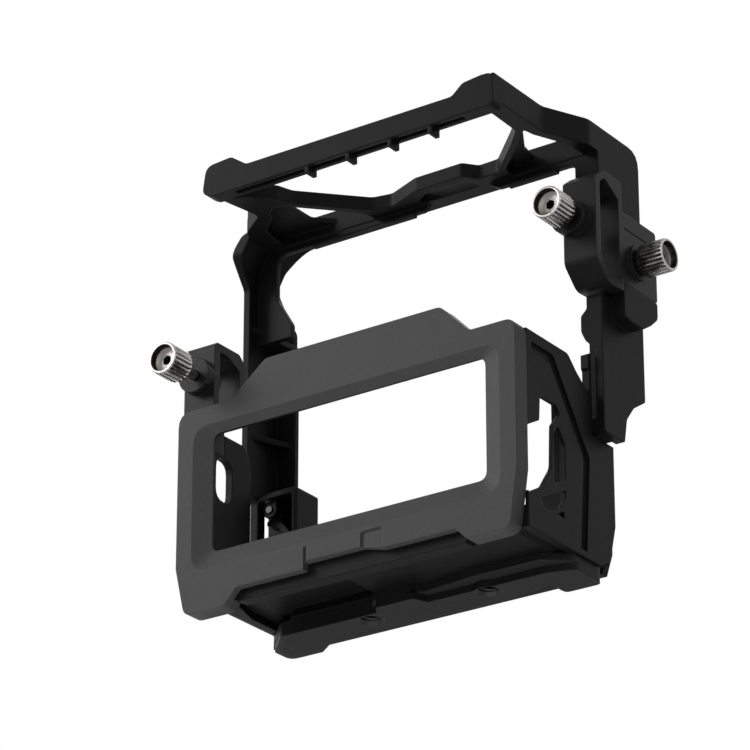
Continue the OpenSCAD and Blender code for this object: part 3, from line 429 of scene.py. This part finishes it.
def knob_rings(end_z):
    """From the collar, round the knob and its cup, to the foot of the hexagon socket."""
    rings = [
        Ring(0.0, fluted(COLLAR_R - COLLAR_ROUND_R), DARK),
        Ring(-COLLAR_ROUND_L, fluted(COLLAR_R), DARK),
        Ring(-COLLAR_L, fluted(COLLAR_R), DARK),
    ]
    for past, inset, share in KNOB_ROOT:
        rings.append(Ring(-COLLAR_L - past, fluted(KNOB_R - inset, share), SIDE, share))
    run_start = -COLLAR_L - KNOB_ROOT[-1][0]
    run = run_start - end_z - FLUTE_END[0][0]
    for k in range(1, KNOB_SPANS):
        rings.append(Ring(run_start - run * k / KNOB_SPANS, fluted(KNOB_R, 1.0), SIDE, 1.0))
    for up, inset, share in FLUTE_END:
        rings.append(Ring(end_z + up, fluted(KNOB_R - inset, share), SIDE, share))
    for up, inset in KNOB_RIM:
        rings.append(Ring(end_z + up, fluted(KNOB_R - inset), RIM))
    for up, inset in CUP_WALL_RINGS:
        rings.append(Ring(end_z + up, fluted(KNOB_R - inset), CUP_WALL))
    cup_z = end_z + CUP_DEPTH
    rings.append(Ring(cup_z, fluted(KNOB_R - CUP_CORNER_INSET), CUP_FLOOR))
    rings.append(Ring(cup_z, fluted(CUP_CENTRE_R), CUP_FLOOR))
    rings.append(Ring(cup_z + HEX_CHAMFER_TOP, hexagon(HEX_HALF + HEX_CHAMFER), CUP_FLOOR))
    # Painted shade: the socket's chamfer, walls and foot take the dark slot
    rings.append(Ring(cup_z + HEX_CHAMFER_FOOT, hexagon(HEX_HALF), DARK))
    rings.append(Ring(cup_z + HEX_DEPTH, hexagon(HEX_HALF), DARK))
    return rings


def add_knob(bm):
    """The collar and the knob; returns the ring where the shank starts."""
    rings = knob_rings(-COLLAR_L - KNOB_L)
    grid = [ring(bm, step.radii, step.z) for step in rings]
    for k in range(len(rings) - 1):
        quads = band(bm, grid[k], grid[k + 1], rings[k + 1].look)
        if rings[k].flute_share == 1.0:
            for i, quad in enumerate(quads):
                # The grooves' middle steps get the painted shade
                if i % STEPS_PER_FLUTE in SHADED_GROOVE_STEPS:
                    quad.material_index = GROOVE
    # The socket's foot, dark as painted shade
    bm.faces.new(grid[-1]).material_index = DARK
    return grid[0]


def shank_radii(z, reach):
    """A V thread that runs out at the collar and at the tip."""
    fade = smooth01((reach - z) / RUNOUT_AT_TIP) * smooth01(z / RUNOUT_AT_COLLAR)
    cut = [1 - vee(z, SCREW_PITCH, i / SHANK_STEPS) for i in range(SHANK_STEPS)]
    return [SCREW_R - SCREW_THREAD_D * c * fade - SCREW_NECK_D * (1 - fade) for c in cut]


def add_shank(bm, reach):
    """The threaded shank and its plain tip; returns the ring at the collar."""
    rows = int(reach / SCREW_PITCH * ROWS_PER_TURN)
    heights = [reach * k / rows for k in range(rows + 1)]
    chain = [ring(bm, shank_radii(z, reach), z) for z in heights]
    tip_end = reach + TIP_L
    for z, r in ((reach, TIP_R), (tip_end - TIP_CHAMFER, TIP_R), (tip_end, TIP_R - TIP_CHAMFER)):
        chain.append(ring(bm, [r] * SHANK_STEPS, z))
    for first, second in zip(chain, chain[1:]):
        band(bm, first, second, DARK, along=True)
    bm.faces.new(chain[-1]).material_index = DARK
    return chain[0]


def close_collar(bm, collar, shank):
    """A fan from each step of the shank to the collar's finer ring."""
    fan = KNOB_STEPS // SHANK_STEPS
    for i in range(SHANK_STEPS):
        outer = [collar[(i * fan + k) % KNOB_STEPS] for k in range(fan + 1)]
        bm.faces.new([shank[i]] + outer + [shank[(i + 1) % SHANK_STEPS]]).material_index = DARK


def thumbscrew(name, reach):
    """The thread points along z, and z is zero at the collar's face."""
    bm = bmesh.new()
    collar = add_knob(bm)
    shank = add_shank(bm, reach)
    close_collar(bm, collar, shank)
    bmesh.ops.recalc_face_normals(bm, faces=bm.faces)
    ob = mesh_object(name, bm, (side_mat, groove_shade_mat, cup_wall_shade_mat, dark_mat, rim_mat, floor_mat))
    ob.data.set_sharp_from_angle(angle=SHARP_ANGLE)
    return ob


def place_thumbscrew(node, axis, body):
    """The new screw fills the CAD screw's box; axis is the way its thread points."""
    lo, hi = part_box(node)
    centre = (lo + hi) / 2
    thread = Vector(axis)
    across = Vector((0, 0, 1))
    seat = (COLLAR_L + KNOB_L) * MM
    turned = Matrix((across, thread.cross(across), thread)).transposed().to_4x4()
    if thread.y > 0:
        length = (hi.y - lo.y) / MM
        turned.translation = (centre.x, lo.y + seat, centre.z)
    else:
        length = (hi.x - lo.x) / MM
        turned.translation = (hi.x - seat, centre.y, centre.z)
    ob = thumbscrew(node + "_turned", length - COLLAR_L - KNOB_L - TIP_L)
    ob.matrix_world = turned
    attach(ob, body)
    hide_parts(node)


place_thumbscrew("left_press_screw", (0, 1, 0), "left_screw")
place_thumbscrew("right_press_screw", (0, 1, 0), "right_screw")
place_thumbscrew("side_lock_screw", (-1, 0, 0), "lock_screw")


# Tripod threads
def socket_thread(name, x, y, mouth, top):
    """An internal thread: a helical V that stands in from the bore's wall."""
    bm = bmesh.new()
    rows = int((top - mouth) / SOCKET_PITCH * ROWS_PER_TURN)
    grid = []
    for k in range(rows + 1):
        z = mouth + (top - mouth) * k / rows
        height = SOCKET_THREAD_D * smooth01((z - mouth) / SOCKET_FADE)
        crest = [vee(z, SOCKET_PITCH, i / SOCKET_STEPS) for i in range(SOCKET_STEPS)]
        grid.append(ring(bm, [SOCKET_R - SOCKET_PLAY - height * c for c in crest], z, x, y))
    for first, second in zip(grid, grid[1:]):
        band(bm, first, second)
    ob = mesh_object(name, bm, (insert_mat,))
    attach(ob, "cage")


insert_lo, insert_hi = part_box("tripod_inserts")
socket_y = (insert_lo.y + insert_hi.y) / 2 / MM
socket_top = insert_hi.z / MM
socket_thread("left_socket_thread", insert_lo.x / MM + INSERT_R, socket_y, SOCKET_MOUTH, socket_top)
socket_thread("right_socket_thread", insert_hi.x / MM - INSERT_R, socket_y, SOCKET_MOUTH, socket_top)


# Floor, background, lamps and camera
def studio_floor_material():
    """Pale from above with the object's shadow; clear from below, for the camera and the lamp there."""
    mat, tree, bsdf = shader("studio_floor")
    bsdf.inputs["Base Color"].default_value = grey(WHITE, FLOOR_GREY)
    bsdf.inputs["Roughness"].default_value = FLOOR_ROUGH
    bsdf.inputs["Specular IOR Level"].default_value = FLOOR_SPECULAR
    geometry = add(tree, "ShaderNodeNewGeometry")
    rays = add(tree, "ShaderNodeLightPath")
    seen = any_of(tree, [rays.outputs[key] for key in SEEING_RAYS])
    strength = add(tree, "ShaderNodeMath", {1: FLOOR_GLOW}, operation="MULTIPLY")
    tree.links.new(seen, strength.inputs[0])
    glow = add(tree, "ShaderNodeEmission", {"Color": WHITE})
    tree.links.new(strength.outputs["Value"], glow.inputs["Strength"])
    lit = add(tree, "ShaderNodeAddShader")
    tree.links.new(bsdf.outputs["BSDF"], lit.inputs[0])
    tree.links.new(glow.outputs["Emission"], lit.inputs[1])
    clear = add(tree, "ShaderNodeBsdfTransparent")
    mix = add(tree, "ShaderNodeMixShader")
    open_to = any_of(tree, [geometry.outputs["Backfacing"], rays.outputs["Is Shadow Ray"]])
    tree.links.new(open_to, mix.inputs["Fac"])
    tree.links.new(lit.outputs["Shader"], mix.inputs[1])
    tree.links.new(clear.outputs["BSDF"], mix.inputs[2])
    tree.links.new(mix.outputs["Shader"], tree.nodes["Material Output"].inputs["Surface"])
    return mat


def add_floor():
    bm = bmesh.new()
    corners = ((-1, -1), (1, -1), (1, 1), (-1, 1))
    bm.faces.new([bm.verts.new((x * FLOOR_HALF, y * FLOOR_HALF, 0)) for x, y in corners])
    floor = mesh_object("floor", bm, (studio_floor_material(),))
    floor.location.z = -FLOOR_DROP


def add_background():
    """White for the rays that see the background, and a dim even light for the rest."""
    world = bpy.data.worlds.new("studio")
    scene.world = world
    world.use_nodes = True
    tree = world.node_tree
    tree.nodes.clear()
    rays = add(tree, "ShaderNodeLightPath")
    seen = any_of(tree, [rays.outputs[key] for key in SEEING_RAYS])
    fill = add(tree, "ShaderNodeBackground", {"Color": WHITE, "Strength": FILL_LIGHT})
    pale = add(tree, "ShaderNodeBackground", {"Color": WHITE, "Strength": 1.0})
    mix = add(tree, "ShaderNodeMixShader")
    tree.links.new(seen, mix.inputs["Fac"])
    tree.links.new(fill.outputs["Background"], mix.inputs[1])
    tree.links.new(pale.outputs["Background"], mix.inputs[2])
    output = add(tree, "ShaderNodeOutputWorld")
    tree.links.new(mix.outputs["Shader"], output.inputs["Surface"])


def softbox(name, at, size, watts, target=MIDDLE):
    """A rectangular area lamp, aimed at the target; places and sizes in metres."""
    lamp = bpy.data.lights.new(name, "AREA")
    lamp.shape = "RECTANGLE"
    lamp.size, lamp.size_y = size
    lamp.energy = watts
    ob = bpy.data.objects.new(name, lamp)
    scene.collection.objects.link(ob)
    ob.location = at
    ob.rotation_euler = (Vector(target) - Vector(at)).to_track_quat("-Z", "Y").to_euler()
    ob.visible_camera = False


def add_camera():
    lens = bpy.data.cameras.new("camera")
    lens.sensor_width = CAMERA_SENSOR
    lens.lens = CAMERA_LENS
    lens.clip_start = CLIP_START
    lens.clip_end = CLIP_END
    eye = bpy.data.objects.new("camera", lens)
    scene.collection.objects.link(eye)
    turn = Matrix.Rotation(math.radians(CAMERA_TURN), 4, "Z")
    tilt = Matrix.Rotation(math.radians(90 + CAMERA_TILT), 4, "X")
    roll = Matrix.Rotation(math.radians(CAMERA_ROLL), 4, "Z")
    eye.matrix_world = Matrix.Translation(Vector(CAMERA_EYE) * MM) @ turn @ tilt @ roll
    scene.camera = eye


scene.view_settings.view_transform = "Standard"
add_floor()
add_background()
softbox("key", at=(-1.15, -0.85, 0.75), size=(0.7, 0.7), watts=15.0)
softbox("front", at=(0.1, -1.6, 0.5), size=(0.8, 0.8), watts=2.5)
softbox("side", at=(1.5, -0.25, 0.45), size=(0.7, 0.9), watts=2.2)
softbox("rear", at=(-0.6, 1.3, 1.0), size=(0.9, 0.6), watts=3.0)
softbox("under", at=(0.0, -0.2, -0.45), size=(0.3, 0.3), watts=1.3, target=(0.0, 0.0, 0.0))
add_camera()
